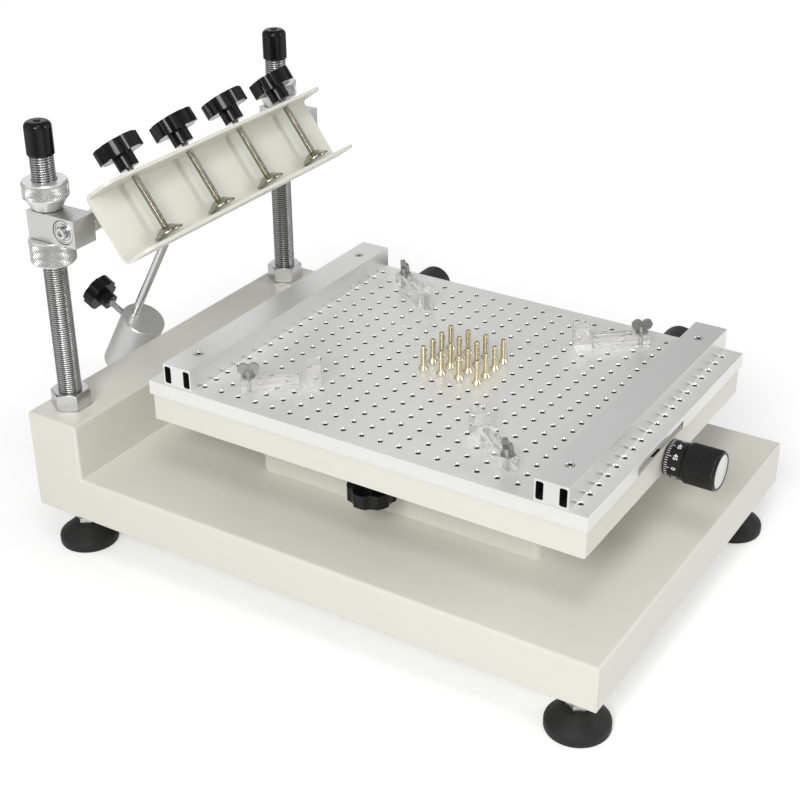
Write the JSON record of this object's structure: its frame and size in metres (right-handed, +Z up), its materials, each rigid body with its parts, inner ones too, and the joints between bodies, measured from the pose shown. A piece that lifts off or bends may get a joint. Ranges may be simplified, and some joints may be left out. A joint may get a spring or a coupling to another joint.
{
  "type": "manual stencil printer",
  "caption": "Bench stencil printer: perforated adjustable table with board rails, support pins and locators on a box base, and a hinged counterweighted frame clamp on threaded posts.",
  "frame": {"origin": "centre of the perforated plate's top face", "axes": "+X to the operator's right along the hinge axis, +Y to the rear beam, +Z up"},
  "size_m": [0.3803, 0.6466, 0.39],
  "materials": {
    "cream_paint": "satin",
    "black_rubber": "matte",
    "cap_vinyl": "gloss",
    "zinc_steel": "bright zinc",
    "polished_steel": "polished",
    "nickel": "nickel",
    "slide_steel": "ground",
    "weight_steel": "satin",
    "aluminium": "satin",
    "black_plastic": "gloss",
    "dial_black": "satin",
    "pin_brass": "satin",
    "clear_acrylic": "polished",
    "wing_nickel": "dull nickel"
  },
  "bodies": {
    "base": {"base_body": "cream_paint", "bottom_plate": "cream_paint", "foot_pads": "black_rubber", "foot_studs": "zinc_steel", "pedestal": "cream_paint", "bed_plate": "slide_steel", "posts": "zinc_steel", "post_caps": "cap_vinyl", "post_nuts": "zinc_steel"},
    "carriage": {"hinge_blocks": "aluminium", "block_plugs": "zinc_steel"},
    "height_nut_1": {"upper_nut_left": "aluminium"},
    "height_nut_2": {"upper_nut_right": "aluminium"},
    "height_nut_3": {"lower_nut_left": "aluminium"},
    "height_nut_4": {"lower_nut_right": "aluminium"},
    "frame": {"frame_channel": "cream_paint", "channel_ears": "cream_paint", "hinge_shaft": "polished_steel", "shaft_bolts": "zinc_steel", "rod_clamp": "slide_steel", "clamp_bolts": "zinc_steel", "weight_rod": "polished_steel"},
    "weight": {"counterweight": "weight_steel"},
    "weight_lock": {"weight_screw": "zinc_steel", "weight_knob": "black_plastic"},
    "stage_y": {"slide_y": "slide_steel"},
    "stage_x": {"slide_x": "slide_steel"},
    "table": {"cross_member": "slide_steel", "table_skirt": "cream_paint", "table_plate": "aluminium", "board_rails": "aluminium", "rail_screws": "zinc_steel", "support_pins": "pin_brass", "dial_bushes": "slide_steel"},
    "front_dial": {"dial_front": "dial_black"},
    "side_dial": {"dial_side": "dial_black"},
    "turn_dial": {"dial_turn": "dial_black"},
    "table_lock": {"lock_screw": "zinc_steel", "lock_knob": "black_plastic"},
    "clamp_pad_1": {"pad_1": "nickel"},
    "clamp_screw_1": {"screw_1": "nickel", "knob_1": "black_plastic"},
    "swivel_1": {"wing_1": "wing_nickel"},
    "stop_1": {"locator_1": "clear_acrylic"},
    "clamp_pad_2": {"pad_2": "nickel"},
    "clamp_screw_2": {"screw_2": "nickel", "knob_2": "black_plastic"},
    "swivel_2": {"wing_2": "wing_nickel"},
    "stop_2": {"locator_2": "clear_acrylic"},
    "clamp_pad_3": {"pad_3": "nickel"},
    "clamp_screw_3": {"screw_3": "nickel", "knob_3": "black_plastic"},
    "swivel_3": {"wing_3": "wing_nickel"},
    "stop_3": {"locator_3": "clear_acrylic"},
    "clamp_pad_4": {"pad_4": "nickel"},
    "clamp_screw_4": {"screw_4": "nickel", "knob_4": "black_plastic"},
    "swivel_4": {"wing_4": "wing_nickel"},
    "stop_4": {"locator_4": "clear_acrylic"}
  },
  "joints": [
    {"name": "frame_lift", "type": "slide", "parent": "base", "child": "carriage", "axis": [0, 0, 1], "range_m": [-0.06, 0.015]},
    {"name": "height_nut_1_turn", "type": "hinge", "parent": "carriage", "child": "height_nut_1", "pos_m": [-0.1565, 0.285, 0.124], "axis": [0, 0, 1], "range_deg": [-8641, 2161]},
    {"name": "height_nut_2_turn", "type": "hinge", "parent": "carriage", "child": "height_nut_2", "pos_m": [0.1565, 0.285, 0.124], "axis": [0, 0, 1], "range_deg": [-8641, 2161]},
    {"name": "height_nut_3_turn", "type": "hinge", "parent": "carriage", "child": "height_nut_3", "pos_m": [-0.1565, 0.285, 0.124], "axis": [0, 0, 1], "range_deg": [-8641, 2161]},
    {"name": "height_nut_4_turn", "type": "hinge", "parent": "carriage", "child": "height_nut_4", "pos_m": [0.1565, 0.285, 0.124], "axis": [0, 0, 1], "range_deg": [-8641, 2161]},
    {"name": "frame_close", "type": "hinge", "parent": "carriage", "child": "frame", "pos_m": [0, 0.2594, 0.124], "axis": [1, 0, 0], "range_deg": [-1, 36.3]},
    {"name": "clamp_1_slide", "type": "slide", "parent": "frame", "child": "clamp_pad_1", "axis": [0, 0.592, 0.8059], "range_m": [-0.0025, 0.03]},
    {"name": "clamp_1_turn", "type": "hinge", "parent": "clamp_pad_1", "child": "clamp_screw_1", "pos_m": [-0.10425, 0.22926, 0.14614], "axis": [0, 0.592, 0.8059], "range_deg": [-901, 10801]},
    {"name": "clamp_2_slide", "type": "slide", "parent": "frame", "child": "clamp_pad_2", "axis": [0, 0.592, 0.8059], "range_m": [-0.0025, 0.03]},
    {"name": "clamp_2_turn", "type": "hinge", "parent": "clamp_pad_2", "child": "clamp_screw_2", "pos_m": [-0.03475, 0.22926, 0.14614], "axis": [0, 0.592, 0.8059], "range_deg": [-901, 10801]},
    {"name": "clamp_3_slide", "type": "slide", "parent": "frame", "child": "clamp_pad_3", "axis": [0, 0.592, 0.8059], "range_m": [-0.0025, 0.03]},
    {"name": "clamp_3_turn", "type": "hinge", "parent": "clamp_pad_3", "child": "clamp_screw_3", "pos_m": [0.03475, 0.22926, 0.14614], "axis": [0, 0.592, 0.8059], "range_deg": [-901, 10801]},
    {"name": "clamp_4_slide", "type": "slide", "parent": "frame", "child": "clamp_pad_4", "axis": [0, 0.592, 0.8059], "range_m": [-0.0025, 0.03]},
    {"name": "clamp_4_turn", "type": "hinge", "parent": "clamp_pad_4", "child": "clamp_screw_4", "pos_m": [0.10425, 0.22926, 0.14614], "axis": [0, 0.592, 0.8059], "range_deg": [-901, 10801]},
    {"name": "weight_slide", "type": "slide", "parent": "frame", "child": "weight", "axis": [0, -0.4833, 0.8755], "range_m": [-0.005, 0.015]},
    {"name": "weight_lock_turn", "type": "hinge", "parent": "weight", "child": "weight_lock", "pos_m": [0, 0.35316, -0.04584], "axis": [0, 0.8755, 0.4833], "range_deg": [-30, 540]},
    {"name": "table_y", "type": "slide", "parent": "base", "child": "stage_y", "axis": [0, 1, 0], "range_m": [-0.01, 0.01]},
    {"name": "table_x", "type": "slide", "parent": "stage_y", "child": "stage_x", "axis": [1, 0, 0], "range_m": [-0.008, 0.008]},
    {"name": "table_turn", "type": "hinge", "parent": "stage_x", "child": "table", "pos_m": [0, 0, -0.02], "axis": [0, 0, 1], "range_deg": [-1.5, 1.5]},
    {"name": "front_dial_turn", "type": "hinge", "parent": "table", "child": "front_dial", "pos_m": [0, -0.1985, -0.0265], "axis": [0, 1, 0], "range_deg": [-3601, 3601]},
    {"name": "side_dial_turn", "type": "hinge", "parent": "table", "child": "side_dial", "pos_m": [0.1485, 0.128, -0.0265], "axis": [1, 0, 0], "range_deg": [-2881, 2881]},
    {"name": "turn_dial_turn", "type": "hinge", "parent": "table", "child": "turn_dial", "pos_m": [0.1485, -0.128, -0.0265], "axis": [1, 0, 0], "range_deg": [-1208, 1208]},
    {"name": "table_lock_turn", "type": "hinge", "parent": "table", "child": "table_lock", "pos_m": [-0.122, 0, -0.05], "axis": [0, 0, 1], "range_deg": [-30, 360]},
    {"name": "locator_1_swivel", "type": "hinge", "parent": "table", "child": "swivel_1", "pos_m": [-0.12, -0.119, 0], "axis": [0, 0, 1], "range_deg": [-30, 30]},
    {"name": "locator_1_slide", "type": "slide", "parent": "swivel_1", "child": "stop_1", "axis": [-0.6157, -0.788, 0], "range_m": [0, 0.028]},
    {"name": "locator_2_swivel", "type": "hinge", "parent": "table", "child": "swivel_2", "pos_m": [0.12, -0.119, 0], "axis": [0, 0, 1], "range_deg": [-30, 30]},
    {"name": "locator_2_slide", "type": "slide", "parent": "swivel_2", "child": "stop_2", "axis": [0.6157, -0.788, 0], "range_m": [0, 0.028]},
    {"name": "locator_3_swivel", "type": "hinge", "parent": "table", "child": "swivel_3", "pos_m": [0.12, 0.119, 0], "axis": [0, 0, 1], "range_deg": [-30, 30]},
    {"name": "locator_3_slide", "type": "slide", "parent": "swivel_3", "child": "stop_3", "axis": [0.6157, 0.788, 0], "range_m": [0, 0.028]},
    {"name": "locator_4_swivel", "type": "hinge", "parent": "table", "child": "swivel_4", "pos_m": [-0.12, 0.119, 0], "axis": [0, 0, 1], "range_deg": [-30, 30]},
    {"name": "locator_4_slide", "type": "slide", "parent": "swivel_4", "child": "stop_4", "axis": [-0.6157, 0.788, 0], "range_m": [0, 0.028]}
  ],
  "couplings": [
    {"joint": "height_nut_1_turn", "follows": "frame_lift", "rad_per_m": 2513.3},
    {"joint": "height_nut_2_turn", "follows": "frame_lift", "rad_per_m": 2513.3},
    {"joint": "height_nut_3_turn", "follows": "frame_lift", "rad_per_m": 2513.3},
    {"joint": "height_nut_4_turn", "follows": "frame_lift", "rad_per_m": 2513.3},
    {"joint": "clamp_1_turn", "follows": "clamp_1_slide", "rad_per_m": 6283.2},
    {"joint": "clamp_2_turn", "follows": "clamp_2_slide", "rad_per_m": 6283.2},
    {"joint": "clamp_3_turn", "follows": "clamp_3_slide", "rad_per_m": 6283.2},
    {"joint": "clamp_4_turn", "follows": "clamp_4_slide", "rad_per_m": 6283.2},
    {"joint": "front_dial_turn", "follows": "table_y", "rad_per_m": 6283.2},
    {"joint": "side_dial_turn", "follows": "table_x", "rad_per_m": 6283.2},
    {"joint": "turn_dial_turn", "follows": "table_turn", "ratio": 804.25}
  ]
}
